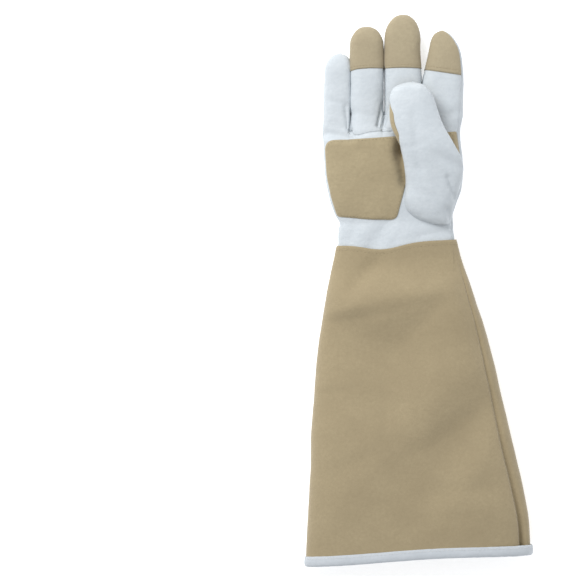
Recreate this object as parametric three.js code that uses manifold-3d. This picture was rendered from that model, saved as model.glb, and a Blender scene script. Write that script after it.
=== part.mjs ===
// A rose pruning gauntlet for the right hand, lying palm up on its back.
// Millimetres, +X towards the index finger, +Y towards the fingertips, +Z up from the surface it lies on.
// Every leather panel is a wall of its own, with a sewing gap to its neighbours, round one open hollow.
import * as THREE from "three";
import { mergeVertices } from "three/addons/utils/BufferGeometryUtils.js";
import Module from "manifold-3d";

const wasm = await Module();
wasm.setup();

// Leather and sewing
const leather = 1.4;
const patchLeather = 1.2;
const bindingLeather = 1.0;
const sewingGap = 0.3;
const cutReach = 10;
const tipPatchSpare = 1.2;

// Cuff
const cuffLength = 264;
const hemWidth = 186;
const cuffHeight = 34;
const cuffOverlap = 8;
const bindingDepth = 7.7;
const hemRise = 9.5;

// Hand
const handOffset = -21.2;
const palmWidth = 113;
const palmLength = 110;
const palmHeight = 24;
const handSideHeight = 10.5;
const seamTiltHeight = 6;

// Fingers
const fingerLength = 76;
const fingerHeight = 19;
const fingerRoot = 22;
const fingerCurlHeight = 2.5;
const tipPatchLength = 43;
const sideStripWidth = 9;
const stripForkDepth = 6;
const stripTipInset = 9;

// Thumb
const thumbLength = 116;
const thumbWidth = 48;
const thumbHeight = 20;
const thumbFromWrist = 14.5;
const thumbClearance = 1.0;
const thumbPatchRise = 6;

// Wrist elastic
const gatherLift = 2.6;
const gatherDepth = 1.3;

// How many points go round a section
const cuffSides = 32;
const handSides = 32;
const fingerSides = 16;
const thumbSides = 14;
const cuffSteps = 14;

// The cuff from the wrist (0) to the hem (1): edges as shares of half the hem's width, heights as shares of cuffHeight.
const cuffRows = [
  { at: 0.0, left: -0.716, right: 0.336, top: 0.72, side: 0.33 },
  { at: 0.06, left: -0.755, right: 0.382, top: 0.76, side: 0.33 },
  { at: 0.136, left: -0.799, right: 0.459, top: 0.92, side: 0.33 },
  { at: 0.21, left: -0.832, right: 0.522, top: 0.97, side: 0.32 },
  { at: 0.325, left: -0.878, right: 0.616, top: 0.97, side: 0.3 },
  { at: 0.438, left: -0.904, right: 0.696, top: 1.0, side: 0.3 },
  { at: 0.552, left: -0.927, right: 0.773, top: 1.0, side: 0.3 },
  { at: 0.666, left: -0.942, right: 0.845, top: 0.99, side: 0.3 },
  { at: 0.779, left: -0.957, right: 0.911, top: 0.98, side: 0.3 },
  { at: 0.893, left: -0.972, right: 0.966, top: 0.96, side: 0.3 },
  { at: 1.0, left: -0.984, right: 0.984, top: 0.93, side: 0.3 },
];

// Dents pressed into the cuff's front: place and size as shares of half the hem's width and of the cuff's length,
// depth as a share of cuffHeight, turned by so many degrees.
const cuffDents = [
  { across: -0.6, along: 0.25, long: 0.36, wide: 0.07, turn: -15, depth: 0.2 },
  { across: -0.06, along: 0.215, long: 0.36, wide: 0.065, turn: 33, depth: 0.16 },
  { across: 0.33, along: 0.54, long: 0.38, wide: 0.07, turn: 34, depth: 0.17 },
  { across: -0.75, along: 0.49, long: 0.26, wide: 0.04, turn: 8, depth: 0.07 },
];

// The hand from the wrist (0) to the finger forks (1): edges as shares of half the palm's width from its middle.
const palmRows = [
  { at: -0.1, left: -0.78, right: 0.905, top: 0.87, lift: 1 },
  { at: 0.0, left: -0.78, right: 0.905, top: 0.87, lift: 1 },
  { at: 0.1, left: -0.777, right: 0.885, top: 0.87, lift: 1 },
  { at: 0.145, left: -0.76, right: 0.87, top: 0.86, lift: 1 },
  { at: 0.19, left: -0.81, right: 0.86, top: 0.88, lift: 0.8 },
  { at: 0.275, left: -0.885, right: 0.895, top: 0.94, lift: 0.1 },
  { at: 0.363, left: -0.928, right: 0.955, top: 0.98, lift: 0 },
  { at: 0.5, left: -0.975, right: 1.01, top: 1.0, lift: 0 },
  { at: 0.63, left: -0.99, right: 1.012, top: 1.0, lift: 0 },
  { at: 0.76, left: -1.008, right: 0.99, top: 0.98, lift: 0 },
  { at: 0.87, left: -1.008, right: 0.982, top: 0.9, lift: 0 },
  { at: 0.95, left: -1.0, right: 0.972, top: 0.78, lift: 0 },
  { at: 1.0, left: -0.985, right: 0.955, top: 0.6, lift: 0 },
];

// Fingers: place and width as shares of the palm's width, reach as a share of fingerLength, lean as a share of width.
const fingers = [
  { name: "little", centre: -0.402, width: 0.187, reach: 0.584, lean: 0.12, height: 0.86 },
  { name: "ring", centre: -0.184, width: 0.236, reach: 0.87, lean: 0, height: 0.98 },
  { name: "middle", centre: 0.077, width: 0.257, reach: 1, lean: 0, height: 1 },
  { name: "index", centre: 0.361, width: 0.252, reach: 0.831, lean: 0.05, height: 1 },
];

// A finger from its root (0) to its tip (1): how much of its width and height is left.
const fingerRows = [
  { at: 0, girth: 0.93 },
  { at: 0.3, girth: 1 },
  { at: 0.78, girth: 0.98 },
  { at: 0.88, girth: 0.9 },
  { at: 0.94, girth: 0.76 },
  { at: 0.98, girth: 0.54 },
  { at: 1, girth: 0.3 },
];

// The thumb from its root in the palm (0) to its tip (1): edges as shares of its width, the depth it sinks into the
// palm as a share of palmHeight, its own height as a share of thumbHeight.
const thumbRows = [
  { at: 0.0, left: 0.05, right: 0.32, sink: 0.6, tall: 0.35 },
  { at: 0.03, left: -0.2, right: 0.365, sink: 0.6, tall: 0.5 },
  { at: 0.08, left: -0.375, right: 0.375, sink: 0.6, tall: 0.78 },
  { at: 0.154, left: -0.44, right: 0.415, sink: 0.58, tall: 0.96 },
  { at: 0.23, left: -0.424, right: 0.465, sink: 0.5, tall: 1.05 },
  { at: 0.31, left: -0.415, right: 0.51, sink: 0.37, tall: 1.05 },
  { at: 0.4, left: -0.44, right: 0.535, sink: 0.2, tall: 1.0 },
  { at: 0.47, left: -0.475, right: 0.5, sink: 0.07, tall: 0.96 },
  { at: 0.54, left: -0.517, right: 0.415, sink: 0, tall: 0.92 },
  { at: 0.7, left: -0.612, right: 0.21, sink: 0.01, tall: 0.9 },
  { at: 0.832, left: -0.686, right: 0.1, sink: 0.08, tall: 0.9 },
  { at: 0.909, left: -0.683, right: 0.029, sink: 0.11, tall: 0.84 },
  { at: 0.958, left: -0.59, right: -0.085, sink: 0.09, tall: 0.66 },
  { at: 0.988, left: -0.46, right: -0.19, sink: 0.04, tall: 0.42 },
  { at: 1.0, left: -0.385, right: -0.28, sink: -0.02, tall: 0.22 },
];
const thumbCentre = 0.27;

// The palm patch's corners: across as shares of half the palm's width, along as shares of its length, each corner
// rounded by so many millimetres.
const patchCorners = [
  { across: -0.955, along: 0.745, round: 7 },
  { across: 0.92, along: 0.82, round: 1 },
  { across: 0.95, along: 0.64, round: 1 },
  { across: 0.3, along: 0.35, round: 3 },
  { across: 0.1, along: 0.33, round: 3 },
  { across: 0.075, along: 0.17, round: 4 },
  { across: -0.8, along: 0.195, round: 2 },
];

// The seam at the base of the sewn-on front of the middle two fingers, and its sides.
const frontSeam = { left: -0.31, right: 0.222, along: 0.84, round: 5 };

// What follows from the sizes above
const wristY = (cuffLength - palmLength - fingerLength) / 2;
const forkY = wristY + palmLength;
const handX = handOffset;
const wallStep = leather + sewingGap;
const wristLift = leather + sewingGap;
const patchTop = sewingGap + patchLeather;
const bindingStep = sewingGap + bindingLeather;
const seamHeight = handSideHeight;
const farAway = cuffLength + palmLength + fingerLength;
const openEnd = 5;
const wristFit = (cuffOverlap * 1.1) / cuffLength;
const bindingAt = 1 - bindingDepth / cuffLength;
const hemStart = 1 - (bindingDepth * 2) / cuffLength;

// Reads every column of a table at any place along it, by a smooth curve through its rows.
function through(rows) {
  const names = Object.keys(rows[0]).filter((name) => name !== "at");
  const samples = rows.flatMap((row) => names.map((name) => row[name]));
  const curve = new THREE.CubicInterpolant(rows.map((row) => row.at), samples, names.length);
  return (at) => {
    const values = curve.evaluate(at);
    return Object.fromEntries(names.map((name, i) => [name, values[i]]));
  };
}

// One closed section of a tube: rounded above, and flattened below where it rests on the surface.
function ring(section, inset, sides) {
  const { left, right, low, side, top } = section;
  const half = (right - left) / 2 - inset;
  const middle = (right + left) / 2;
  const squareness = 0.82;
  const sag = 1.9;
  return Array.from({ length: sides }, (_, i) => {
    const turn = (i / sides) * 2 * Math.PI;
    const cos = Math.cos(turn);
    const sin = Math.sin(turn);
    const across = Math.sign(cos) * Math.abs(cos) ** squareness;
    const bulge = Math.abs(sin) ** squareness;
    const x = middle + half * across;
    let z = side + (top - inset - side) * bulge;
    if (sin < 0) z = Math.max(low + inset, side - (side - low - inset) * sag * bulge);
    const pressed = section.press ? section.press(x, z, sin, i) : 0;
    return [x, section.y(x), z + pressed];
  });
}

// A closed solid through rings of equal length, each further along +Y than the last, with flat ends.
function loft(rings) {
  const count = rings[0].length;
  const points = rings.flat();
  const faces = [];
  for (let r = 0; r + 1 < rings.length; r++) {
    for (let i = 0; i < count; i++) {
      const a = r * count + i;
      const b = r * count + ((i + 1) % count);
      faces.push(a, a + count, b, b, a + count, b + count);
    }
  }
  const last = (rings.length - 1) * count;
  for (const [start, end] of [[0, "near"], [last, "far"]]) {
    const centre = points.length;
    const rim = points.slice(start, start + count);
    points.push([0, 1, 2].map((k) => rim.reduce((sum, p) => sum + p[k], 0) / count));
    for (let i = 0; i < count; i++) {
      const here = start + i;
      const next = start + ((i + 1) % count);
      if (end === "near") faces.push(centre, here, next);
      else faces.push(centre, next, here);
    }
  }
  const geometry = new THREE.BufferGeometry();
  geometry.setAttribute("position", new THREE.Float32BufferAttribute(points.flat(), 3));
  geometry.setIndex(faces);
  return toSolid(geometry);
}

function toSolid(geometry) {
  const bare = geometry.clone();
  bare.deleteAttribute("normal");
  bare.deleteAttribute("uv");
  const merged = mergeVertices(bare, 1e-4);
  const mesh = new wasm.Mesh({
    numProp: 3,
    vertProperties: merged.attributes.position.array,
    triVerts: new Uint32Array(merged.index.array),
  });
  return new wasm.Manifold(mesh);
}

// A named mesh of a solid's largest body; crumbs that a cut leaves behind go.
function toMesh(name, solid, material) {
  const bodies = solid.decompose();
  const largest = bodies.reduce((best, body) => (body.volume() > best.volume() ? body : best));
  const { vertProperties, triVerts } = largest.getMesh();
  const geometry = new THREE.BufferGeometry();
  geometry.setAttribute("position", new THREE.Float32BufferAttribute(vertProperties, 3));
  geometry.setIndex(Array.from(triVerts));
  const mesh = new THREE.Mesh(geometry, material);
  mesh.name = name;
  return mesh;
}

// An upright prism over an outline in the XY plane.
function prism(outline, low, high) {
  const geometry = new THREE.ExtrudeGeometry(outline, { depth: high - low, bevelEnabled: false, curveSegments: 5 });
  return toSolid(geometry.translate(0, 0, low));
}

// An outline with each corner rounded by its own radius.
function roundedOutline(corners) {
  const outline = new THREE.Shape();
  corners.forEach((corner, i) => {
    const before = corners.at(i - 1);
    const after = corners[(i + 1) % corners.length];
    const here = new THREE.Vector2(corner.x, corner.y);
    const start = here.clone().lerp(new THREE.Vector2(before.x, before.y), corner.round / here.distanceTo(before));
    const end = here.clone().lerp(new THREE.Vector2(after.x, after.y), corner.round / here.distanceTo(after));
    if (i === 0) outline.moveTo(start.x, start.y);
    else outline.lineTo(start.x, start.y);
    outline.quadraticCurveTo(here.x, here.y, end.x, end.y);
  });
  outline.closePath();
  return outline;
}

// How far a dent presses the cuff's front down at a point.
function dentAt(x, y) {
  return cuffDents.reduce((sum, dent) => {
    const turn = THREE.MathUtils.degToRad(dent.turn);
    const dx = x - (dent.across * hemWidth) / 2;
    const dy = y - (wristY - dent.along * cuffLength);
    const long = (dx * Math.cos(turn) + dy * Math.sin(turn)) / ((dent.long * hemWidth) / 2);
    const wide = (dy * Math.cos(turn) - dx * Math.sin(turn)) / (dent.wide * cuffLength);
    return sum + dent.depth * cuffHeight * Math.exp(-(long * long) - wide * wide);
  }, 0);
}

// The hand's body: its section at any place along it, and the tube between two places.
const palmAt = through(palmRows);
function palmSection(at) {
  const row = palmAt(at);
  return {
    left: handX + (row.left * palmWidth) / 2,
    right: handX + (row.right * palmWidth) / 2,
    low: row.lift * wristLift,
    side: handSideHeight,
    top: row.top * palmHeight,
    y: () => wristY + at * palmLength,
  };
}

function palmTube(inset, from, end) {
  const to = end - inset / palmLength;
  const gather = palmRows[3].at;
  const ats = palmRows.map((row) => row.at).filter((at) => at > from + 0.01 && at < to - 0.01);
  const rings = [from, ...ats, to].map((at) => {
    const section = palmSection(at);
    if (at === gather) {
      section.low += gatherLift;
      section.press = (x, z, sin, i) => (sin < -0.3 && i % 2 ? -gatherDepth : 0);
    }
    return ring(section, inset, handSides);
  });
  return loft(rings);
}

// The cuff: at the wrist it fits round the hand, and further down it follows its own table.
const cuffAt = through(cuffRows);
function cuffSection(along) {
  const at = THREE.MathUtils.clamp(along, 0, 1);
  const row = cuffAt(at);
  const wrist = palmSection(0);
  const free = THREE.MathUtils.smoothstep(at, wristFit, wristFit + 0.06);
  const blend = (fitted, own) => THREE.MathUtils.lerp(fitted, own, free);
  const left = blend(wrist.left - wallStep, (row.left * hemWidth) / 2);
  const right = blend(wrist.right + wallStep, (row.right * hemWidth) / 2);
  const slope = hemRise / hemWidth;
  const middle = wristY - along * (cuffLength - hemRise / 2);
  const y = (x) => middle + slope * (x - (left + right) / 2);
  return {
    left,
    right,
    low: bindingStep * THREE.MathUtils.smoothstep(at, hemStart, bindingAt),
    side: blend(wrist.side, row.side * cuffHeight),
    top: blend(wrist.top + wallStep, row.top * cuffHeight),
    y,
    press: (x, z, sin) => (sin > 0 ? -dentAt(x, y(x)) * sin * free : 0),
  };
}

function cuffTube(inset, from, to, steps) {
  const even = Array.from({ length: steps + 1 }, (_, i) => THREE.MathUtils.lerp(to, from, i / steps));
  const turns = [wristFit, hemStart, bindingAt].filter((at) => at > from + 1e-6 && at < to - 1e-6);
  const ats = [...even, ...turns].sort((a, b) => b - a);
  return loft(ats.map((at) => ring(cuffSection(at), inset, cuffSides)));
}

const fingerAt = through(fingerRows);
function fingerBox(finger) {
  const half = (finger.width * palmWidth) / 2;
  const centre = handX + finger.centre * palmWidth;
  const tipY = forkY + finger.reach * fingerLength;
  return { half, centre, tipY, rootY: forkY - fingerRoot };
}

function fingerTube(finger, inset) {
  const { half, centre, tipY, rootY } = fingerBox(finger);
  const length = tipY - inset - rootY;
  const rings = fingerRows.map(({ at }) => {
    const { girth } = fingerAt(at);
    const height = fingerHeight * finger.height;
    const side = height / 2 + fingerCurlHeight * at * at;
    const lean = finger.lean * half * at;
    const section = {
      left: centre + lean - half * girth,
      right: centre + lean + half * girth,
      low: side - (height / 2) * girth,
      side,
      top: side + (height / 2) * girth,
      y: () => rootY + length * at,
    };
    return ring(section, inset, fingerSides);
  });
  return loft(rings);
}

const thumbX = handX + thumbCentre * palmWidth;
const thumbRootY = wristY + thumbFromWrist;
function thumbTube(inset) {
  const rings = thumbRows.map((row) => {
    const low = palmHeight + patchTop + thumbClearance - row.sink * palmHeight;
    const top = low + row.tall * thumbHeight;
    const tipInset = row.at > 0.5 ? inset : 0;
    const section = {
      left: thumbX + row.left * thumbWidth,
      right: thumbX + row.right * thumbWidth,
      low,
      side: (low * 1.1 + top * 0.9) / 2,
      top,
      y: () => thumbRootY + row.at * (thumbLength - tipInset),
    };
    const room = Math.min((section.right - section.left) / 2, (top - low) / 2) * 0.8;
    return ring(section, Math.min(inset, room), thumbSides);
  });
  return loft(rings);
}

function union(solids) {
  return solids.reduce((whole, solid) => whole.add(solid));
}

const hand = (inset, from) => union([palmTube(inset, from, 1), ...fingers.map((finger) => fingerTube(finger, inset))]);

// Everything above the seam that runs round the hand's edge, which climbs towards the index finger.
function aboveSeam(offset) {
  const size = farAway * 2;
  const block = new THREE.BoxGeometry(size, size, size);
  block.translate(0, 0, size / 2 + offset);
  block.rotateY(-Math.atan2(seamTiltHeight, palmWidth));
  block.translate(handX, 0, seamHeight);
  return toSolid(block);
}

// The lens of a side strip between two fingers, on one finger's side of the fork.
function sideStrip(finger, towards, grow) {
  const { half, centre, tipY } = fingerBox(finger);
  const tip = tipY - stripTipInset + grow;
  const foot = forkY - stripForkDepth - grow;
  const tall = sideStripWidth / 2 + grow;
  const outline = new THREE.Shape();
  outline.moveTo(foot, -tall * 0.5);
  outline.quadraticCurveTo((foot + tip) / 2, -tall * 1.4, tip, -tall * 0.25);
  outline.lineTo(tip, tall * 0.25);
  outline.quadraticCurveTo((foot + tip) / 2, tall * 1.4, foot, tall * 0.5);
  outline.closePath();
  const reach = half + 3;
  const lens = new THREE.ExtrudeGeometry(outline, { depth: reach, bevelEnabled: false, curveSegments: 4 });
  lens.applyMatrix4(new THREE.Matrix4().makeBasis(
    new THREE.Vector3(0, 1, 0),
    new THREE.Vector3(0, 0, 1),
    new THREE.Vector3(1, 0, 0),
  ));
  const height = (fingerHeight * finger.height) / 2;
  lens.translate(towards > 0 ? centre : centre - reach, 0, height);
  return toSolid(lens);
}

const white = new THREE.MeshStandardMaterial({ color: "#d6dbe0", roughness: 0.6, metalness: 0 });
const tan = new THREE.MeshStandardMaterial({ color: "#a9997d", roughness: 0.8, metalness: 0 });

// The hand's wall, with the hole that the thumb grows out of
const wristStart = -cuffOverlap / palmLength;
const hollow = hand(leather, wristStart - openEnd / palmLength);
const thumbHole = thumbTube(-sewingGap);
const handWall = hand(0, wristStart).subtract(hollow).subtract(thumbHole);

// Side strips between the fingers
const strips = fingers.slice(1).map((finger, i) => {
  const pair = [fingers[i], finger];
  const shape = (grow) => union([sideStrip(pair[0], 1, grow), sideStrip(pair[1], -1, grow)]);
  return {
    name: `${pair[0].name}_${finger.name}_side_strip`,
    solid: handWall.intersect(shape(0)),
    cut: shape(sewingGap),
  };
});
const panels = strips.reduce((wall, strip) => wall.subtract(strip.cut), handWall);

// The front of the middle two fingers, sewn across their base
function frontOutline(grow) {
  const left = handX + frontSeam.left * palmWidth - grow;
  const right = handX + frontSeam.right * palmWidth + grow;
  const foot = wristY + frontSeam.along * palmLength - grow;
  return roundedOutline([
    { x: left, y: foot, round: frontSeam.round },
    { x: right, y: foot, round: 1 },
    { x: right, y: farAway, round: 1 },
    { x: left, y: farAway, round: 1 },
  ]);
}

// The tan leather over the fingertips' fronts reaches down to here
function tipOutline(finger, grow) {
  const { half, centre, tipY } = fingerBox(finger);
  const foot = forkY + fingerLength - tipPatchLength - grow;
  const wide = half + tipPatchSpare;
  return roundedOutline([
    { x: centre - wide, y: foot, round: 1 },
    { x: centre + wide, y: foot, round: 1 },
    { x: centre + wide, y: tipY + cutReach, round: 1 },
    { x: centre - wide, y: tipY + cutReach, round: 1 },
  ]);
}

const front = panels.intersect(aboveSeam(sewingGap / 2));
const back = panels.subtract(aboveSeam(-sewingGap / 2));
const tipped = fingers.filter((finger) => finger.name !== "little");
const tipCuts = union(tipped.map((finger) => prism(tipOutline(finger, sewingGap), -cutReach, farAway)));
const sewnFront = prism(frontOutline(0), -cutReach, farAway);
const fingerFront = front.intersect(sewnFront).subtract(tipCuts);
const palmPanel = front.subtract(prism(frontOutline(sewingGap), -cutReach, farAway)).subtract(tipCuts);
const tips = tipped.map((finger) => ({
  name: `${finger.name}_tip`,
  solid: front.intersect(prism(tipOutline(finger, 0), -cutReach, farAway)),
}));

// The palm patch, a second layer on the palm
const patchOutline = roundedOutline(patchCorners.map((corner) => ({
  x: handX + (corner.across * palmWidth) / 2,
  y: wristY + corner.along * palmLength,
  round: corner.round,
})));
const patchLayer = palmTube(-patchTop, 0.1, 1).subtract(palmTube(-sewingGap, 0.05, 1));
const palmPatch = patchLayer
  .intersect(prism(patchOutline, -cutReach, farAway))
  .intersect(aboveSeam(2))
  .subtract(thumbHole);

// The thumb, whose underside near the tip is a tan patch
const thumbWall = thumbTube(0).subtract(thumbTube(leather)).subtract(hollow);
function thumbUnderside(grow) {
  const size = thumbWidth * 2;
  const start = thumbRootY + thumbLength * 0.5 - grow;
  const end = thumbRootY + thumbLength * 0.93 + grow;
  const base = palmHeight + patchTop + thumbClearance;
  const block = new THREE.BoxGeometry(size, end - start, size);
  block.translate(thumbX - thumbWidth * 0.3, (start + end) / 2, base + thumbPatchRise + grow - size / 2);
  return toSolid(block);
}
const thumb = thumbWall.subtract(thumbUnderside(sewingGap));
const thumbPatch = thumbWall.intersect(thumbUnderside(0));

// The cuff and its folded white binding
const pastEnd = 0.03;
const hemAt = 1 - bindingStep / cuffLength;
const cuff = cuffTube(0, 0, hemAt, cuffSteps)
  .subtract(cuffTube(leather, -pastEnd, 1 + pastEnd, cuffSteps + 1));
const bindingBlock = cuffTube(-bindingStep, bindingAt, 1, 1)
  .subtract(cuffTube(leather + bindingStep, bindingAt - pastEnd, 1 + pastEnd, 1));
const cuffRoom = cuffTube(-sewingGap, bindingAt - pastEnd, hemAt + sewingGap / cuffLength, 1)
  .subtract(cuffTube(leather + sewingGap, bindingAt - 2 * pastEnd, 1 + 2 * pastEnd, 1));
const binding = bindingBlock.subtract(cuffRoom);

const gauntlet = new THREE.Group();
gauntlet.add(
  toMesh("back_panel", back, white),
  toMesh("palm_panel", palmPanel, white),
  toMesh("finger_front", fingerFront, white),
  ...strips.map((strip) => toMesh(strip.name, strip.solid, white)),
  ...tips.map((tip) => toMesh(tip.name, tip.solid, tan)),
  toMesh("palm_patch", palmPatch, tan),
  toMesh("thumb", thumb, white),
  toMesh("thumb_patch", thumbPatch, tan),
  toMesh("cuff", cuff, tan),
  toMesh("hem_binding", binding, white),
);

export default gauntlet;
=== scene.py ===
# %% [markdown]
# # A rose pruning gauntlet, dressed over its CAD frame
# The real glove is a forearm-length work glove: a pale grain-leather hand, a tan split-leather palm patch
# and fingertips, a long tan cuff and a pale binding round the hem. It lies palm up on its back. Every
# piece below is a leather wall of its own, worked out as a grid of points with numpy and then given its
# thickness by Solidify. All shapes are worked out in millimetres and turned to metres when the mesh is
# made.

import bpy
import numpy as np
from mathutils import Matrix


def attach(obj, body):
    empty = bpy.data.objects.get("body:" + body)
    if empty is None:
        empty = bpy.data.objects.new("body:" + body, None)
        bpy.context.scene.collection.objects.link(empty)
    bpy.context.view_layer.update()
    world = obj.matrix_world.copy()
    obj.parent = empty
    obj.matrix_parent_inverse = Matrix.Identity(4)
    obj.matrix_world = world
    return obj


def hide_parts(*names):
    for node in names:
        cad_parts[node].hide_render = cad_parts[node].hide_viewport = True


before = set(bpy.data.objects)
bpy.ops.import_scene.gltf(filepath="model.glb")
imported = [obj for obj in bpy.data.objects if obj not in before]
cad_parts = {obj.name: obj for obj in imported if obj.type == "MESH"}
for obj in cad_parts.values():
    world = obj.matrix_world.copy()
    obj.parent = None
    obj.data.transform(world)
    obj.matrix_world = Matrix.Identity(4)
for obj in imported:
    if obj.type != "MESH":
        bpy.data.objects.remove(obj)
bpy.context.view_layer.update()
MM = 0.001

# %% [markdown]
# ## Sizes
# These are the same named sizes as in the CAD source, so each leather piece lies on the solid that it
# stands for.

# %% Sizes in millimetres
leather, patch_leather, binding_leather = 1.4, 1.2, 1.0
cuff_length, hem_width, cuff_height, binding_depth, hem_rise = 264, 186, 34, 7.7, 9.5
hand_x, palm_width, palm_length, palm_height, side_height = -21.2, 113, 110, 24, 10.5
finger_length, finger_height, finger_root, finger_curl, tip_patch_length = 76, 19, 22, 2.5, 43
thumb_length, thumb_width, thumb_height = 116, 48, 20
wrist_y = 39.0
fork_y = wrist_y + palm_length
web_y = fork_y - 5
tip_line_y = fork_y + finger_length - tip_patch_length
thumb_x = hand_x + 0.27 * palm_width
thumb_root_y = wrist_y + 14.5
# The photo's scale in millimetres a pixel, and the pixel that shows the frame's origin.
photo_scale, photo_origin = 0.8137, (418.5, 290.5)
section_power, floor_sag = 0.82, 1.9


def step(low, high, value):
    """Smooth step: 0 below low, 1 above high, and three t squared minus two t cubed between them."""
    t = np.clip((value - low) / (high - low), 0, 1)
    return t * t * (3 - 2 * t)


def through(at, places, values):
    """Smooth curve through a table: cubic Hermite pieces whose slopes are the table's own gradient."""
    places, values = np.asarray(places, float), np.asarray(values, float)
    slopes = np.gradient(values, places)
    k = np.clip(np.searchsorted(places, at, side="right") - 1, 0, len(places) - 2)
    gap = places[k + 1] - places[k]
    t = np.clip((at - places[k]) / gap, 0, 1)
    start = (1 + 2 * t) * (1 - t) ** 2 * values[k] + t * (1 - t) ** 2 * gap * slopes[k]
    end = t * t * (3 - 2 * t) * values[k + 1] + t * t * (t - 1) * gap * slopes[k + 1]
    return start + end


def softer_max(a, b, blend):
    """The larger of two values, rounded: half of a plus b plus the root of gap squared and blend squared."""
    return 0.5 * (a + b + np.sqrt((a - b) ** 2 + blend ** 2))


def section_point(turn, left, right, low, side, top, power=section_power):
    """A rounded section: x goes as cos to a power, height as sin to that power, flattened at the floor."""
    cos, sin = np.cos(turn), np.sin(turn)
    bulge = np.abs(sin) ** power
    x = (left + right) / 2 + (right - left) / 2 * np.sign(cos) * np.abs(cos) ** power
    below = softer_max(low, side - (side - low) * floor_sag * bulge, 1.5)
    z = np.where(sin >= 0, side + (top - side) * bulge, below)
    return x, z


def from_photo(x_px, y_px):
    """Where a pixel of the photo lies in the glove's plane: its distance from the origin's pixel, scaled."""
    return (x_px - photo_origin[0]) * photo_scale, (photo_origin[1] - y_px) * photo_scale


print("fork at", fork_y, "tip line at", tip_line_y, "thumb at", round(thumb_x, 2), thumb_root_y)

# %% [markdown]
# ## Grids, welds and relief
# A sewn glove has two kinds of form: the big shape of each panel, and the small relief that sewing and
# wear press into it. The big shape is a grid of points. The relief is a height along the surface's
# normals, so it can be added to any panel in the same way. Sculpting could do this by hand, but worked
# out in code it stays exact and editable.

# %% Mesh helpers


def weld(points):
    """Points that share a place, to a hundredth of a millimetre, become one."""
    key = np.round(points / 0.01).astype(np.int64)
    _, first, inverse = np.unique(key, axis=0, return_index=True, return_inverse=True)
    return points[first], inverse.ravel()


def grid_faces(rows, columns, start=0):
    """Four-cornered faces of a grid, wound so that columns times rows point outwards."""
    index = start + np.arange(rows * columns).reshape(rows, columns)
    corners = [index[:-1, :-1], index[:-1, 1:], index[1:, 1:], index[1:, :-1]]
    return np.stack([corner.ravel() for corner in corners], -1)


def tidy_faces(quads):
    """Quads whose two neighbouring corners were welded become triangles, and folded ones go."""
    same = quads == np.roll(quads, -1, axis=1)
    whole = quads[same.sum(1) == 0]
    whole = whole[(whole[:, 0] != whole[:, 2]) & (whole[:, 1] != whole[:, 3])]
    folded = quads[same.sum(1) == 1]
    shift = np.argmax(folded == np.roll(folded, -1, axis=1), axis=1)
    turned = np.take_along_axis(folded, (shift[:, None] + np.arange(1, 4)) % 4, axis=1)
    return whole.tolist() + turned.tolist()


def read_normals(mesh):
    """The mesh's normals at its vertices, as rows of x, y and z."""
    normals = np.empty(len(mesh.vertices) * 3)
    mesh.vertex_normals.foreach_get("vector", normals)
    return normals.reshape(-1, 3)


def distance_to(points, line):
    """Shortest distance from each point to a line given as closely spaced points, 4000 points at a time."""
    parts = [points[i:i + 4000, None] - line[None] for i in range(0, len(points), 4000)]
    return np.concatenate([np.sqrt((part ** 2).sum(-1).min(1)) for part in parts])


def read_along(at, length, table):
    """The columns of a table, each read at the given lengths along its line."""
    return np.stack([np.interp(at, length, table[:, k]) for k in range(table.shape[1])], -1)


def length_along(line):
    """Length from a line's first point to each of its points."""
    return np.r_[0, np.cumsum(np.linalg.norm(np.diff(line, axis=0), axis=1))]


def dense(corners, gap=0.8):
    """A line through corner points, cut into steps of about gap millimetres."""
    corners = np.asarray(corners, float)
    length = length_along(corners)
    return read_along(np.linspace(0, length[-1], max(2, int(length[-1] / gap))), length, corners)


def hashed(x, y, z, seed):
    """A fixed random number from 0 to 1 for each whole-numbered place: the bits are mixed by multiplying."""
    mixed = (x * 73856093) ^ (y * 19349663) ^ (z * 83492791) ^ (seed * 2654435)
    mixed = (mixed ^ (mixed >> 13)) * 1274126177 & 0x7FFFFFFF
    mixed = (mixed ^ (mixed >> 15)) * 668265263 & 0x7FFFFFFF
    return mixed / 0x7FFFFFFF


def ripple(points, size, seed):
    """Value noise from -1 to 1: random numbers on a lattice of the given size, blended between corners."""
    place = points / np.asarray(size, float)
    whole = np.floor(place).astype(np.int64)
    part = place - whole
    part = part * part * (3 - 2 * part)
    total = 0
    for corner in np.ndindex(2, 2, 2):
        weight = np.prod(np.where(corner, part, 1 - part), axis=1)
        total = total + weight * hashed(*(whole + corner).T, seed)
    return total * 2 - 1


def seam_groove(points, line, depth, width):
    """A sewn seam pulls the leather in: minus depth times e to the minus distance over width, squared."""
    return -depth * np.exp(-(distance_to(points, line) / width) ** 2)


def folds(points, table):
    """Creases seen from the palm's side: each row is x and y of both ends, depth and width in millimetres.

    The depth falls as e to the minus distance over width, squared, across the crease and past its ends.
    """
    total = np.zeros(len(points))
    for x0, y0, x1, y1, depth, width in table:
        along = np.array([x1 - x0, y1 - y0])
        length = np.hypot(*along)
        part = (points[:, :2] - (x0, y0)) @ along / length ** 2
        aside = ((points[:, 0] - x0) * along[1] - (points[:, 1] - y0) * along[0]) / length
        past = np.maximum(0, np.abs(part - 0.5) - 0.5) * length
        total -= depth * np.exp(-(aside / width) ** 2 - (past / (width * 1.5)) ** 2)
    return total


def photo_folds(*rows):
    """Rows for folds whose two ends are given in pixels of the photo."""
    return [(*from_photo(*row[:2]), *from_photo(*row[2:4]), *row[4:]) for row in rows]


# %% The piece makers
pieces = {}


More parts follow.
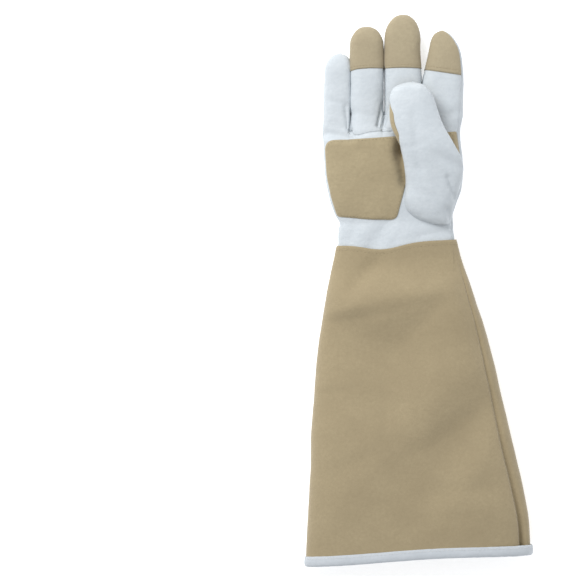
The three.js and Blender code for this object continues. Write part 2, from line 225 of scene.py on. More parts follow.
def join_grids(grids):
    """Grids welded where they meet: the welded points, the numbers of each grid's points, and the faces."""
    points = np.concatenate([grid.reshape(-1, 3) for grid in grids])
    starts = np.cumsum([0] + [grid.shape[0] * grid.shape[1] for grid in grids])
    quads = np.concatenate([grid_faces(*grid.shape[:2], start) for grid, start in zip(grids, starts)])
    welded, inverse = weld(points)
    spans = [inverse[start:end] for start, end in zip(starts, starts[1:])]
    return welded, spans, tidy_faces(inverse[quads])


def sewn_surface(grids, relief):
    """All panels welded along their seams and moved together by one relief, so that no seam opens.

    Gives the moved grids and their normals. Nothing goes below the floor.
    """
    welded, spans, faces = join_grids(grids)
    mesh = bpy.data.meshes.new("seam_helper")
    mesh.from_pydata((welded * MM).tolist(), [], faces)
    normals = read_normals(mesh)
    welded = welded + relief(welded, normals)[:, None] * normals
    welded[:, 2] = np.maximum(welded[:, 2], 0)
    mesh.vertices.foreach_set("co", (welded * MM).ravel())
    mesh.update()
    normals = read_normals(mesh)
    bpy.data.meshes.remove(mesh)
    moved = [welded[span].reshape(grid.shape) for grid, span in zip(grids, spans)]
    outward = [normals[span].reshape(grid.shape) for grid, span in zip(grids, spans)]
    return moved, outward


def new_piece(name, points, faces):
    """A smoothly shaded object at the origin, with its place in its mesh, kept under its name."""
    mesh = bpy.data.meshes.new(name)
    mesh.from_pydata((points * MM).tolist(), [], faces)
    mesh.polygons.foreach_set("use_smooth", np.ones(len(mesh.polygons), bool))
    mesh.update()
    piece = bpy.data.objects.new(name, mesh)
    bpy.context.scene.collection.objects.link(piece)
    pieces[name] = piece
    print(name, len(mesh.polygons), "faces", np.round(points.min(0), 1), np.round(points.max(0), 1))
    return piece


def leather_piece(name, grids, wall, poles=None, reach=7.0):
    """Grids welded into one sheet and thickened inwards, thinner near poles, where it would cross itself."""
    welded, _, faces = join_grids(grids)
    piece = new_piece(name, welded, faces)
    solidify = piece.modifiers.new("Leather thickness", "SOLIDIFY")
    solidify.thickness = wall * MM
    solidify.offset = -1
    solidify.use_even_offset = False
    if poles is not None:
        group = piece.vertex_groups.new(name="full_thickness")
        weight = np.round(step(0.0, reach, distance_to(welded, poles)), 2)
        for value in np.unique(weight):
            group.add(np.flatnonzero(weight == value).tolist(), float(value), "REPLACE")
        solidify.vertex_group = group.name
        solidify.thickness_vertex_group = 0.12


# %% [markdown]
# ## The fingers and the hand
# Each finger is a flattened tube. Round it, going from the little finger's side to the index side, come
# the front, a side strip, the back and the other side strip. The same columns run on down into the palm,
# where the four tubes melt into one wide section over about 20 mm: that melting is what makes the valleys
# between the knuckles. A voxel remesh of separate tubes would give the same outline, but columns that
# follow the leather keep every seam sharp.

# %% Finger and palm formulas
fingers = [
    dict(name="little", centre=-0.396, width=0.208, reach=0.584, height=0.86, round=15,
         lean=0.08, nod=0, taper=0.06, inner=0.3),
    dict(name="ring", centre=-0.184, width=0.25, reach=0.87, height=0.98, round=15,
         lean=0, nod=0, taper=0.07, inner=0.48),
    dict(name="middle", centre=0.077, width=0.27, reach=1.0, height=1.0, round=21,
         lean=0, nod=0, taper=0.045, inner=0.48),
    dict(name="index", centre=0.3567, width=0.3035, reach=0.831, height=1.0, round=24,
         lean=0.13, nod=1.9, taper=0.25, inner=0.48),
]
bite_places = [0.22, 0.3, 0.44, 0.5, 0.57, 0.64, 0.7, 0.8, 0.86, 0.93, 1]
bites = {
    "index": [0, -0.3, -0.45, -0.45, 0.3, 1.3, 1.75, 1.6, 0.9, 0.15, 0],
    "middle": [0, -0.3, -0.5, -0.4, 0.15, 0.8, 1.0, 0.8, 0.6, 0.05, 0],
}
for finger in fingers:
    finger["half"] = finger["width"] * palm_width / 2
    finger["x"] = hand_x + finger["centre"] * palm_width
    finger["tip"] = fork_y + finger["reach"] * finger_length

palm_places = [-0.1, 0, 0.1, 0.145, 0.19, 0.275, 0.363, 0.5, 0.63, 0.76, 0.87, 0.95, 1]
palm_left = [-0.78, -0.78, -0.777, -0.76, -0.81, -0.885, -0.928, -0.975, -0.99, -1.008, -1.008, -1, -0.985]
palm_right = [0.905, 0.905, 0.885, 0.884, 0.877, 0.918, 0.983, 1.022, 1.02, 0.99, 0.982, 0.972, 0.955]
palm_top = [0.87, 0.87, 0.87, 0.86, 0.88, 0.94, 0.98, 1, 1, 0.98, 0.9, 0.86, 0.86]
palm_lift = [1, 1, 1, 1, 0.8, 0.1, 0, 0, 0, 0, 0, 0, 0]


def palm_box(y):
    """Edges and heights of the hand's section at each y, from the table."""
    at = (y - wrist_y) / palm_length
    left = hand_x + through(at, palm_places, palm_left) * palm_width / 2
    right = hand_x + through(at, palm_places, palm_right) * palm_width / 2
    low = through(at, palm_places, palm_lift) * 1.7
    top = through(at, palm_places, palm_top) * palm_height
    return left, right, low, top


def finger_ring(finger, y, turn):
    """One finger's tube: half width and half height taper slowly and close at the tip like half an ellipse.

    The little finger leans on the ring finger, so its inner half closes later, as a smaller power. A table moves
    the sides of the middle and index fingers that face each other, so that they touch low down and part above.
    """
    at = (y - (fork_y - finger_root)) / (finger["tip"] - fork_y + finger_root)
    to_tip = np.clip(1 - (finger["tip"] - y) / finger["round"], 0, 1)
    slim = 1 - finger["taper"] * step(0.45, 1, at)
    closing = np.maximum(1 - to_tip ** 2.1, 0)
    girth = closing ** 0.48 * slim
    inner = finger["half"] * closing ** finger["inner"] * slim
    height = finger_height * finger["height"]
    side = height / 2 + finger_curl * at * at
    middle = finger["x"] + finger["lean"] * finger["half"] * at - finger["nod"] * step(0.82, 1, at)
    half = finger["half"] * girth
    if finger["name"] == "index":
        half = half - through(at, bite_places, bites["index"])
    if finger["name"] == "middle":
        inner = inner - through(at, bite_places, bites["middle"])
    low, top = side - height / 2 * girth, side + height / 2 * girth
    return section_point(turn, middle - half, middle + inner, low, side, top, power=0.72)


def finger_point(number, y, turn):
    """A finger's surface; below the fork two fingers' facing sides move to their common middle, the web."""
    x, z = finger_ring(fingers[number], y, turn)
    pull = step(fork_y, web_y, y)
    for other, mirror in ((number + 1, 0.0), (number - 1, np.pi)):
        if 0 <= other < len(fingers):
            seen = turn if mirror == 0 else np.pi - turn
            local = np.degrees((seen + np.pi) % (2 * np.pi) - np.pi)
            edge = np.radians(np.clip(local, -34, 12))
            own_x, own_z = finger_ring(fingers[number], y, edge if mirror == 0 else np.pi - edge)
            other_x, other_z = finger_ring(fingers[other], y, np.pi - edge if mirror == 0 else edge)
            near = pull * step(78, 12, local) * step(-84, -34, local)
            x, z = x + near * (other_x - own_x) / 2, z + near * (other_z - own_z) / 2
    return np.stack([x, np.broadcast_to(y, x.shape), z], -1)


web_left = finger_ring(fingers[0], np.array([web_y]), np.array([np.pi]))[0][0]
web_right = finger_ring(fingers[3], np.array([web_y]), np.array([0.0]))[0][0]
web_middle, web_half = (web_left + web_right) / 2, (web_right - web_left) / 2
print("web from", round(web_left, 1), "to", round(web_right, 1))


def hand_point(number, y, turn):
    """Above the web a finger, below it the same column blended into the palm's section over 21 mm.

    The outermost columns land exactly on the section's left and right ends, so front and back meet there.
    """
    on_finger = finger_point(number, np.maximum(y, web_y), turn)
    left, right, low, top = palm_box(y)
    across = np.clip((on_finger[..., 0] - web_middle) / web_half, -1, 1)
    angle = np.arccos(np.sign(across) * np.abs(across) ** (1 / section_power))
    x, z = section_point(np.where(np.sin(turn) >= 0, angle, -angle), left, right, low, side_height, top)
    melt = step(web_y, web_y - 21, y)
    own = finger_point(number, np.full_like(y, web_y), turn)
    x = np.where(y < web_y, own[..., 0] + step(web_y, web_y - 16, y) * (x - own[..., 0]), on_finger[..., 0])
    z = np.where(y < web_y, own[..., 2] + melt * (z - own[..., 2]), on_finger[..., 2])
    return np.stack([x, np.broadcast_to(y, x.shape), z], -1)


def strip_edge(number, y):
    """How far a side strip reaches round the finger's side, from 1, closing to 0 near the tip."""
    tip = fingers[number]["tip"]
    reach = step(tip - 4, tip - 28, y)
    return np.where(reach < 0.08, 0, reach)


def index_seam(y):
    """The turn of the index finger's outer seam, where the back panel comes round to the front."""
    on_finger = 34 - 8 * step(fork_y, fork_y + 50, y)
    return on_finger + 8 * step(web_y, wrist_y, y) - 16 * step(wrist_y + 60, wrist_y, y)


def edges_of(number, y, part):
    """Start and end turn in degrees of a finger's front, back, or right or left side strip at each y."""
    reach = strip_edge(number, y)
    zero = np.zeros_like(y)
    right_up, right_down = (index_seam(y), index_seam(y)) if number == 3 else (12 * reach, -34 * reach)
    left_up, left_down = (180 + zero, 180 + zero) if number == 0 else (180 - 12 * reach, 180 + 34 * reach)
    parts = {
        "front": (left_up, right_up),
        "right": (right_up, right_down),
        "back": (right_down, left_down - 360),
        "left": (left_down, left_up),
    }
    return parts[part]


def finger_grid(number, part, ys, columns):
    """Points of one part of a finger: rows climb in y, bent by the seams; columns go clockwise round it."""
    share = np.linspace(0, 1, columns)[None, :]
    y = np.broadcast_to(np.asarray(ys, float)[:, None], (len(ys), columns))
    start, end = edges_of(number, y, part)
    turn = np.radians(start + (end - start) * share)
    return hand_point(number, y + seam_warp(number, hand_point(number, y, turn)[..., 0], y), turn)


# %% Rows along the hand
base_y = 129.0
low_rows = np.r_[np.linspace(31, base_y, 98), np.linspace(base_y, web_y, 18)[1:]]
split_row = 97


def finger_rows(number):
    """Rows from the web to a fingertip: one on the tip line, and close together at the end."""
    tip, end = fingers[number]["tip"], fingers[number]["round"]
    turn = np.sin(np.linspace(0, np.pi / 2, 26)[1:])
    if number == 0:
        return np.r_[np.linspace(web_y, tip - end, 34), tip - end + end * turn], 0
    below = np.linspace(web_y, tip_line_y, 39)
    above = np.linspace(tip_line_y, tip - end, max(4, int((tip - end - tip_line_y) / 1.1)))
    return np.r_[below, above[1:], tip - end + end * turn], 38


def seam_warp(number, x, y):
    """Bends rows so that one follows the tip line and one the base seam of the two middle fingers."""
    slants = {
        0: 0 * x,
        1: np.interp(x, [-56, -50, -40, -28], [-3.4, -1.7, -0.9, -0.9]),
        2: 0.4 * np.cos((x + 12) / 9) - 1,
        3: -(x - 8) * 0.15 - 2.5,
    }
    at_tips = np.exp(-((y - tip_line_y) / 9) ** 2)
    places = [-68, -58, -55.7, -54.2, -52.2, -48.5, -38.7, -29, -23, -4, 3.7, 12]
    rises = [0, 2.4, 2.4, 0.2, -1.9, -2.2, 0.2, 1.2, 1.4, 1, 0.6, 0]
    return slants[number] * at_tips + np.interp(x, places, rises) * np.exp(-((y - base_y) / 8) ** 2)


print("rows below the web", len(low_rows), "base seam at", low_rows[split_row])

# %% [markdown]
# ## Folds of the hand
# The leather of a worn hand keeps soft dents where it bends: under the little finger, at the root of the
# index finger, across the wrist where elastic gathers it, and fine wrinkles all over. Each is a row in a
# table, so a fold can be moved by changing two numbers.

# %% Relief tables
front_folds = photo_folds(
    (325, 133, 350, 137.5, 3.2, 3.6),
    (330, 126, 350, 131, 1.3, 4.5),
    (443, 118, 456, 113, 1.0, 4.2),
    (388, 222, 372, 245, 1.3, 6.0),
    (355, 228, 346, 243, 0.7, 5.0),
    (452, 229, 420, 236, 0.6, 3.2),
    (355, 112, 378, 116, 0.3, 2.6),
    (391, 100, 414, 97, 0.3, 2.6),
    (329, 100, 346, 104, 0.4, 2.4),
    (346, 108, 348.5, 128, 1.3, 1.9),
    (383, 104, 378.5, 124, 1.9, 1.4),
    (378.5, 125, 390, 130, 1.3, 1.3),
    (390, 104, 384, 123, 1.2, 1.5),
    (401, 134, 403, 150, 5.0, 5.0),
    (402, 154, 405.5, 181, 7.0, 5.4),
    (345, 142, 362, 152, 0.7, 3.4),
)
back_folds = [
    (-82, 122, -52, 112, 1.0, 5.0),
    (-50, 110, 0, 109, 0.9, 6.0),
    (2, 114, 30, 124, 1.0, 5.0),
    (-30, 96, -26, 60, 0.5, 5.0),
    (16, 200, 22, 166, 0.5, 2.6),
    (-70, 165, -62, 140, 0.5, 2.6),
]


def fine_wrinkles(points, strength=1.0):
    """Three layers of value noise: 9 mm swells, 3.5 mm wrinkles and 1.8 mm grain-sized unevenness."""
    swell = ripple(points, (9, 12, 9), 3) * 0.22
    wrinkle = (1 - np.abs(ripple(points, (4.2, 2.9, 4), 5))) ** 3 * -0.16
    return strength * (swell + wrinkle + ripple(points, 1.8, 7) * 0.03)


def gathers(points, normals):
    """Elastic puckers across the back of the wrist: a wave every 7.5 mm inside a band 15 mm tall."""
    band = np.exp(-((points[:, 1] - 56) / 9) ** 2)
    wander = ripple(points * (0.3, 1, 1), (9, 6, 9), 11) * 1.4
    wave = np.cos((points[:, 0] + wander) * 2 * np.pi / 7.5)
    underneath = step(0.2, -0.6, normals[:, 2])
    return band * underneath * (wave * 0.75 - 0.95)


print("folds", len(front_folds), "in front and", len(back_folds), "behind")

# %% [markdown]
# ## Hand panels
# The palm panel is everything on the front except the two middle fingers' front, which is cut in one
# piece and set in with a seam across their roots. The back panel is one sheet from the wrist over all
# four fingertips. All are worked out together, because two panels that share a seam must also share its
# points: moved one by one along their own normals they would part there.

# %% Grids of the hand
front_columns, back_columns, strip_columns = 34, 30, 8
panel_names, hand_grids = [], []


def panel(name, number, part, ys, columns):
    """One more grid of a named panel."""
    panel_names.append(name)
    hand_grids.append(finger_grid(number, part, ys, columns))


for number in range(4):
    rows, tip_row = finger_rows(number)
    below_tip = rows[:tip_row + 1] if tip_row else rows
    front = "fronts" if number in (1, 2) else "palm"
    cap = "cap" + str(number)
    panel("palm", number, "front", low_rows[:split_row + 1], front_columns)
    panel(front, number, "front", low_rows[split_row:], front_columns)
    panel(front, number, "front", below_tip, front_columns)
    panel("back", number, "back", np.r_[low_rows, rows[1:]], back_columns)
    if number < 3:
        panel("strip" + str(number), number, "right", below_tip, strip_columns)
    if number > 0:
        panel("strip" + str(number - 1), number, "left", below_tip, strip_columns)
        panel(cap, number, "left", rows[tip_row:], strip_columns)
        panel(cap, number, "front", rows[tip_row:], front_columns)
    if number in (1, 2):
        panel(cap, number, "right", rows[tip_row:], strip_columns)
print("hand grids", len(hand_grids))


# %% Seams and relief of the hand
def parts_of(name, grids):
    """The grids that belong to one panel."""
    return [grid for own, grid in zip(panel_names, grids) if own == name]


def side_lines(name):
    """The first and last columns of all grids of one panel, as closely spaced points."""
    grids = parts_of(name, hand_grids)
    return np.concatenate([dense(grid[:, column]) for grid in grids for column in (0, -1)])


def first_rows(name):
    """The first row of each grid of one panel, as closely spaced points."""
    return [dense(grid[0]) for grid in parts_of(name, hand_grids)]


side_seams = np.concatenate([side_lines(name) for name in ("back", "strip0", "strip1", "strip2")])
side_seams = side_seams[(side_seams[:, 1] > web_y) | (np.abs(side_seams[:, 0] + 22) > 48)]
front_sides = side_lines("fronts")
front_sides = front_sides[front_sides[:, 1] < web_y + 4]
base_seam = np.concatenate(first_rows("fronts")[::2])
tip_lines = {number: np.concatenate(first_rows("cap" + str(number))) for number in (1, 2, 3)}
finger_tips = [finger_point(i, np.array([fingers[i]["tip"]]), np.array([0.0]))[0] for i in range(4)]
finger_poles = np.stack(finger_tips)
print("seam points", len(side_seams), len(front_sides), len(base_seam))


def hand_relief(points, normals):
    """Relief of the hand: seams pull in, folds sink, elastic gathers the wrist, wrinkles lie over all."""
    up, down = step(-0.1, 0.6, normals[:, 2]), step(-0.1, 0.6, -normals[:, 2])
    calm = step(0.5, 4.0, distance_to(points, finger_poles))
    height = calm * fine_wrinkles(points) + folds(points, front_folds) * up
    height += folds(points, back_folds) * down
    height += calm * seam_groove(points, side_seams, 0.75, 1.5) + seam_groove(points, front_sides, 0.4, 1.4)
    height += seam_groove(points, base_seam, 0.8, 1.5) * up + gathers(points, normals)
    return height


hand_made, hand_out = sewn_surface(hand_grids, hand_relief)

# %% Pieces of pale grain leather
leather_piece("palm_leather", parts_of("palm", hand_made), leather, finger_poles)
leather_piece("finger_front_leather", parts_of("fronts", hand_made), leather)
leather_piece("back_leather", parts_of("back", hand_made), leather, finger_poles)
for number, name in enumerate(("little_ring_strip", "ring_middle_strip", "middle_index_strip")):
    leather_piece(name, parts_of("strip" + str(number), hand_made), leather, finger_poles, 18.0)

# %% [markdown]
# ## Tan fingertips
# Each of three fingers has a split-leather cap sewn over its front and sides, down to a line 43 mm below
# the middle fingertip. It lies on top of the grain leather, so its lower edge shows as a small step.

# %% Fingertip caps
caps = []
for number, name in enumerate(("ring_tip_cap", "middle_tip_cap", "index_tip_cap"), 1):
    outward = parts_of("cap" + str(number), hand_out)
    grids = []
    for grid, normals in zip(parts_of("cap" + str(number), hand_made), outward):
        points = grid.reshape(-1, 3)
        dip = 0.12 * np.exp(-((distance_to(points, tip_lines[number]) - 1.7) / 0.7) ** 2)
        proud = 0.5 * step(0.0, 2.2, distance_to(points, side_seams)) - dip
        grids.append(grid + proud.reshape(grid.shape[:2])[..., None] * normals)
    leather_piece(name, grids, leather, finger_poles)
    caps.append((grids[1], outward[1]))

# %% [markdown]
# ## Palm patch
# The patch is a second layer of split leather on the palm. Its outline is a closed curve with rounded
# corners, and its surface is made of rings that shrink from that outline to the middle, each point lying
# on the palm below it. A projected decal would be quicker, but a real layer has the small step that
# catches the light.

# %% Height of the palm under a point
level_gap = 0.5
level_x = np.arange(-90, 45, level_gap)
level_y = low_rows[4:]


def side_by_side(names, rows):
    """The finished grids of some panels that have so many rows, joined across the hand."""
    picked = [grid for name, grid in zip(panel_names, hand_made) if name in names and len(grid) == rows]
    return np.concatenate(picked, axis=1)


front_low = side_by_side(["palm"], split_row + 1)
front_high = side_by_side(["palm", "fronts"], len(low_rows) - split_row)
palm_surface = np.concatenate([front_low[4:], front_high[1:]])
level_z = np.stack([np.interp(level_x, row[:, 0], row[:, 2]) for row in palm_surface])
print("height map", level_z.shape)


def palm_height_at(x, y):
    """Bilinear reading of the finished palm's height map."""
    row = np.clip(np.interp(y, level_y, np.arange(len(level_y))), 0, len(level_y) - 1.001)
    column = np.clip((x - level_x[0]) / level_gap, 0, len(level_x) - 1.001)
    r, c = row.astype(int), column.astype(int)
    fr, fc = row - r, column - c
    upper = level_z[r, c] * (1 - fc) + level_z[r, c + 1] * fc
    lower = level_z[r + 1, c] * (1 - fc) + level_z[r + 1, c + 1] * fc
    return upper * (1 - fr) + lower * fr


def rounded_outline(corners, gap=0.9):
    """A closed outline: each corner is a quadratic curve between points set back by its radius."""
    corners = np.asarray(corners, float)
    xy, radius = corners[:, :2], corners[:, 2:3]
    to_before = np.roll(xy, 1, axis=0) - xy
    to_after = np.roll(xy, -1, axis=0) - xy
    start = xy + to_before / np.linalg.norm(to_before, axis=1, keepdims=True) * radius
    end = xy + to_after / np.linalg.norm(to_after, axis=1, keepdims=True) * radius
    t = np.linspace(0, 1, 9)[None, :, None]
    curve = (1 - t) ** 2 * start[:, None] + 2 * t * (1 - t) * xy[:, None] + t * t * end[:, None]
    return dense(np.r_[curve.reshape(-1, 2), curve[0, :1]], gap)


# %% Palm patch
patch_corners = [(*from_photo(x, y), radius) for x, y, radius in (
    (337.2, 216.9, 3), (331, 198, 5), (326.5, 175.5, 5), (324.4, 140.2, 8.5), (362, 138.8, 5), (397, 136.2, 5),
    (457, 131.2, 1.5), (460.6, 158, 4), (436, 175, 6), (406, 184, 3), (402.4, 197, 4), (396.5, 219.9, 5),
    (372, 219.7, 5),
)]
outline = rounded_outline(patch_corners)
patch_middle = np.array([-50.0, 92.0])
stitch_share = 0.955
shares = np.r_[1, 0.99, 0.98, 0.968, stitch_share, 0.94, 0.925, 0.905, 0.88, np.linspace(0.85, 0.02, 42), 0]
patch_xy = patch_middle + shares[:, None, None] * (outline[None] - patch_middle)
edge_gap = distance_to(patch_xy.reshape(-1, 2), outline).reshape(patch_xy.shape[:2])
patch_z = palm_height_at(patch_xy[..., 0], patch_xy[..., 1]) + 0.25 + 1.25 * step(-0.5, 1.7, edge_gap)
patch_grid = np.dstack([patch_xy, patch_z])[:, ::-1]
patch_edge = patch_grid[0]


def patch_relief(points, normals):
    """Split leather lies a little unevenly, with a stitched dip 2 mm inside its edge."""
    edge = distance_to(points, patch_edge)
    return -0.15 * np.exp(-((edge - 2.2) / 0.7) ** 2) + fine_wrinkles(points, 0.45)


patch_made, patch_out = sewn_surface([patch_grid], patch_relief)
leather_piece("palm_patch_leather", patch_made, patch_leather)

# %% [markdown]
# ## Thumb
# The thumb lies folded across the palm. Its tube is lofted through a table of sections that start sunk in
# the palm, swell over the ball of the thumb and close at the tip. Its white top and its tan underside
# meet along a seam on the left edge, where a narrow tan sliver shows.

# %% Thumb formulas
thumb_places = [0, 0.03, 0.08, 0.154, 0.23, 0.31, 0.4, 0.47, 0.54, 0.7, 0.832, 0.909, 0.958, 0.988, 1]
thumb_left = [0.05, -0.2, -0.375, -0.44, -0.424, -0.415, -0.44, -0.475, -0.517, -0.676]
thumb_left += [-0.694, -0.683, -0.625, -0.517, -0.42]
thumb_right = [0.32, 0.365, 0.385, 0.43, 0.485, 0.54, 0.565, 0.525, 0.43, 0.215]
thumb_right += [0.1, 0.032, -0.057, -0.12, -0.23]
thumb_sink = [0.6, 0.6, 0.6, 0.58, 0.5, 0.37, 0.2, 0.07, 0, 0.01, 0.08, 0.11, 0.09, 0.04, -0.02]
thumb_tall = [0.44, 0.6, 0.75, 0.865, 0.875, 0.82, 0.735, 0.695, 0.7, 0.765, 0.825, 0.83, 0.73, 0.49, 0.22]
closing_from, closing_length = 0.955, 0.045
patch_from = 0.36


def thumb_point(at, turn):
    """The thumb's surface at a share of its length and a turn round it; past 0.955 it closes like a circle."""
    past = np.clip(at - closing_from, 0, 1) / closing_length
    close = np.sqrt(np.clip(1 - past ** 2, 0, 1))
    left = thumb_x + through(at, thumb_places, thumb_left) * thumb_width
    right = thumb_x + through(at, thumb_places, thumb_right) * thumb_width
    low = palm_height + 2.5 - through(at, thumb_places, thumb_sink) * palm_height
    top = low + through(at, thumb_places, thumb_tall) * thumb_height
    side = low + (0.12 + 0.33 * step(0, 0.16, at)) * (top - low)
    middle, half = (left + right) / 2, (right - left) / 2
    half = np.where(past > 0, half * 0.35 + half * 0.65 * close, half) * close ** 0.35
    top, low = side + (top - side) * close, side + (low - side) * close
    x, z = section_point(turn, middle - half, middle + half, low, side, top)
    return np.stack([x, thumb_root_y + at * thumb_length, z], -1)


def thumb_grid(ats, start, end, columns):
    """Rows along the thumb, columns clockwise from the start turn to the end turn at each place."""
    at = np.broadcast_to(np.asarray(ats)[:, None], (len(ats), columns))
    share = np.linspace(0, 1, columns)[None, :]
    return thumb_point(at, np.radians(start(at) + (end(at) - start(at)) * share))


def tan_left(at):
    """Turn of the seam on the thumb's left edge: the tan shows between 0.5 and 0.9 of the length."""
    return 196 - 50 * step(0.5, 0.64, at) * step(0.9, 0.76, at)


def tan_right(at):
    """Turn of the seam on the thumb's right edge, low on that side."""
    return np.full_like(at, -16.0)


def tan_left_below(at):
    """The left seam again, reached from the right one by going round underneath."""
    return tan_left(at) - 360


closing_rows = closing_from + closing_length * np.sin(np.linspace(0, np.pi / 2, 14)[1:])
thumb_rows = np.r_[np.linspace(0, closing_from, 104), closing_rows]
tan_rows = thumb_rows[thumb_rows > patch_from]
root_rows = np.r_[thumb_rows[thumb_rows <= patch_from], tan_rows[0]]
thumb_top = thumb_grid(thumb_rows, tan_left, tan_right, 58)
thumb_under = thumb_grid(root_rows, tan_right, tan_left_below, 34)
thumb_tan = thumb_grid(tan_rows, tan_right, tan_left_below, 34)
thumb_seams = np.concatenate([dense(thumb_tan[:, 0]), dense(thumb_tan[:, -1]), thumb_tan[0]])
thumb_folds = photo_folds(
    (447.5, 179, 455.5, 199, 1.9, 2.0),
    (447.5, 211, 452, 222, 1.6, 2.2),
    (413, 118, 419, 168, 0.8, 3.6),
    (440, 158, 458, 166, 1.1, 4.6),
    (402, 150, 424, 143, 0.3, 3.0),
    (407, 186, 430, 196, 0.3, 4.0),
)


def thumb_relief(points, normals):
    """Seams pull in, folds sink into the top, and fine wrinkles lie over all."""
    top = step(-0.1, 0.6, normals[:, 2])
    tip_y = thumb_root_y + thumb_length
    calm = step(tip_y, tip_y - 3, points[:, 1])
    seams = calm * seam_groove(points, thumb_seams, 0.6, 1.4)
    return calm * fine_wrinkles(points) + folds(points, thumb_folds) * top + seams


thumb_made, _ = sewn_surface([thumb_top, thumb_under, thumb_tan], thumb_relief)
thumb_pole = thumb_point(np.array([1.0]), np.array([0.0]))
leather_piece("thumb_leather", thumb_made[:2], leather, thumb_pole)
leather_piece("thumb_patch_leather", thumb_made[2:], leather, thumb_pole)

# %% [markdown]
# ## Cuff
# The cuff is one long tapering tube of split leather, closed by a lapped seam that shows on the front
# near the right edge. Its columns start at that seam and are welded there, and its relief sinks the
# leather along the seam. Soft dents and one long diagonal valley say that it is empty and has been
# folded.

# %% Cuff formulas
cuff_places = [0, 0.06, 0.136, 0.21, 0.325, 0.438, 0.552, 0.666, 0.779, 0.893, 1]
cuff_left = [-0.716, -0.755, -0.799, -0.832, -0.878, -0.904, -0.927, -0.942, -0.957, -0.972, -0.984]
cuff_right = [0.336, 0.382, 0.459, 0.522, 0.616, 0.696, 0.773, 0.845, 0.915, 0.974, 0.994]
cuff_top = [0.72, 0.76, 0.92, 0.97, 0.97, 1, 1, 0.99, 0.98, 0.96, 0.93]
cuff_side = [0.33, 0.33, 0.33, 0.32, 0.3, 0.3, 0.3, 0.3, 0.3, 0.3, 0.3]
wrist_fit = 8 * 1.1 / cuff_length  # the share of the cuff that fits round the hand, eight steps of 1.1 mm


def cuff_dent(x, y):
    """How far the cuff's front is pressed down, read in photo pixels u and v.

    The surface drops between a first and a last line, steeply at one of them, and comes back slowly towards
    the hem. One such slope opens from a pinch at the left edge, below a swell. The other crosses the lower
    right, and a small wedge is pressed in at the left.
    """
    u, v = x / photo_scale + photo_origin[0], photo_origin[1] - y / photo_scale
    across = [300, 322, 335, 350, 370, 385, 400, 425, 440, 452, 560]
    first = np.interp(u, across, [312, 312, 310, 308, 305, 302, 299, 292, 288, 284, 284])
    last = np.interp(u, across, [321, 322, 325, 335, 349, 358, 350, 326, 310, 300, 300])
    drop = through(u, across, [3.0, 4.0, 5.6, 6.4, 7.6, 8.0, 6.8, 4.2, 1.8, 0.2, 0])
    sharp = np.interp(u, [320, 355, 385], [0.5, 0.4, 0.06])
    pressed = sharp * step(first - 3, first + 14, v) + (1 - sharp) * step(first, last, v)
    pinch = drop * pressed * step(last + 105, last, v)
    swell = 1.2 * step(first - 44, first - 6, v) * step(first + 14, first - 4, v)
    swell = swell * step(316, 350, u) * step(452, 400, u)
    places = [385, 405, 425, 445, 465, 480, 490, 505]
    high = np.interp(u, places, [422, 416, 403, 387, 373, 362, 357, 354])
    deep_line = np.interp(u, places, [458, 458, 454, 441, 428, 416, 408, 402])
    depth_places = [300, 380, 400, 425, 445, 465, 482, 495, 510, 560]
    depth = through(u, depth_places, [0, 0.3, 2.0, 4.0, 6.2, 6.8, 5.8, 2.8, 0.8, 0])
    slope = 0.75 * step(high, deep_line, v) + 0.25 * step((high + deep_line) / 2, deep_line, v)
    back = np.interp(u, [430, 480, 500], [90, 58, 46])
    valley = depth * slope * step(deep_line + back, deep_line, v)
    wedge = 2.0 * step(360, 322, u) * step(383, 397 - (u - 318) * 0.12, v) * step(436, 397, v)
    return pinch - swell + valley + wedge


def cuff_point(along, turn):
    """The cuff's surface: at the wrist it fits round the hand, further down it follows its own table."""
    at = np.clip(along, 0, 1)
    free = step(wrist_fit, wrist_fit + 0.14, at)
    wrist_left, wrist_right, _, wrist_top = palm_box(np.full_like(at, wrist_y))
    left = np.minimum(wrist_left - 1.4, through(at, cuff_places, cuff_left) * hem_width / 2)
    right = np.maximum(wrist_right + 1.4, through(at, cuff_places, cuff_right) * hem_width / 2)
    side = side_height * (1 - free) + through(at, cuff_places, cuff_side) * cuff_height * free
    top = (wrist_top + 1.7) * (1 - free) + through(at, cuff_places, cuff_top) * cuff_height * free
    low = 1.3 * step(1 - 2 * binding_depth / cuff_length, 1 - binding_depth / cuff_length, at)
    x, z = section_point(turn, left, right, low, side, top)
    y = wrist_y - along * (cuff_length - hem_rise / 2) + hem_rise / hem_width * (x - (left + right) / 2)
    sin = np.sin(turn)
    z = z - np.where(sin > 0, cuff_dent(x, y) * sin * free, 0)
    bow = -3.4 * np.exp(-((x + 35) / 17) ** 2) - 2.4 * np.exp(-((x + 21) / 16) ** 2)
    y = y + bow * step(30, 0, along * cuff_length) * step(0, 0.4, sin)
    y = y + 2.5 * np.exp(-((x - 12) / 60) ** 2) * step(0.7, 1, at)
    return np.stack([x, y, z], -1)


seam_places = [0, 0.12, 0.274, 0.406, 0.494, 0.626, 0.808, 0.958, 1]
seam_turns = [20, 23.5, 25.5, 27.3, 28, 28.7, 25.8, 23.2, 22.8]


def cuff_seam(along):
    """Turn of the lapped seam in degrees, measured from the right side up."""
    return through(np.clip(along, 0, 1), seam_places, seam_turns)


cuff_alongs = np.r_[np.linspace(0, 0.06, 22), np.linspace(0.06, 1, 196)[1:]]
around = np.r_[np.linspace(0, 0.024, 25), np.linspace(0.024, 0.972, 176)[1:], np.linspace(0.972, 1, 25)[1:]]
turn_table = np.linspace(0, 2 * np.pi, 721)


